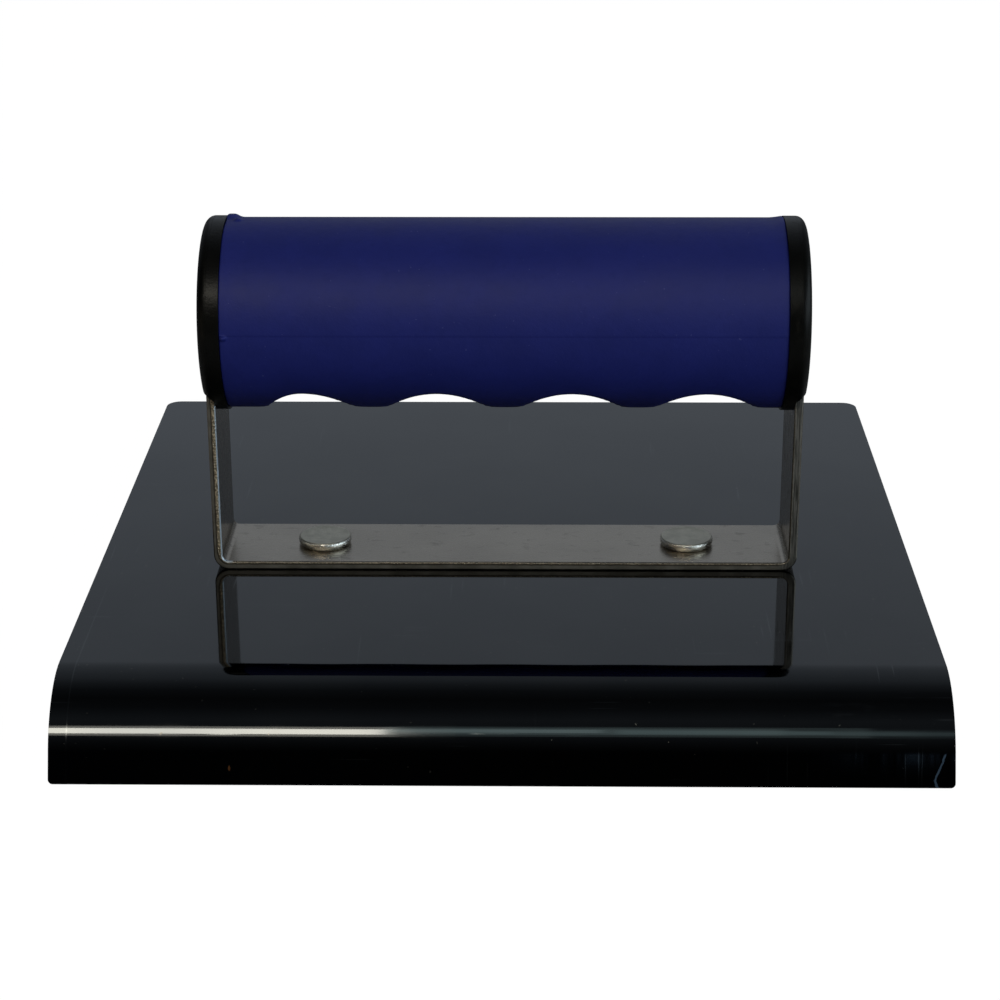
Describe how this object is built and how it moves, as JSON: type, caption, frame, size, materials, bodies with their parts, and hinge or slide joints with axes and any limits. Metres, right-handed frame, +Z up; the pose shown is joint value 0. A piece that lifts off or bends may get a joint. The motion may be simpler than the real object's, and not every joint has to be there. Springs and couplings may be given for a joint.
{
  "type": "hand edger",
  "caption": "Concrete hand edger: square blued steel blade with a rolled front lip, a riveted strap bracket and a round soft grip with finger grooves and end caps.",
  "frame": {"origin": "on the flat underside of the blade (the sole), in the middle of the blade's plan", "axes": "+Z up out of the blade towards the handle, -Y towards the turned-down lip, X along the handle"},
  "size_m": [0.1524, 0.1524, 0.0806],
  "materials": {
    "blued_steel": "polished, dark blued",
    "bare_steel": "bare, satin, scuffed",
    "zinc_steel": "zinc plated, satin",
    "black_plastic": "semi-gloss",
    "blue_rubber": "matte"
  },
  "bodies": {
    "root": {"blade": "blued_steel", "handle_bracket": "bare_steel", "rivet_left": "zinc_steel", "rivet_right": "zinc_steel", "tie_rod": "zinc_steel", "handle_core": "black_plastic", "grip_sleeve": "blue_rubber", "end_cap_left": "black_plastic", "end_cap_right": "black_plastic"}
  },
  "joints": []
}
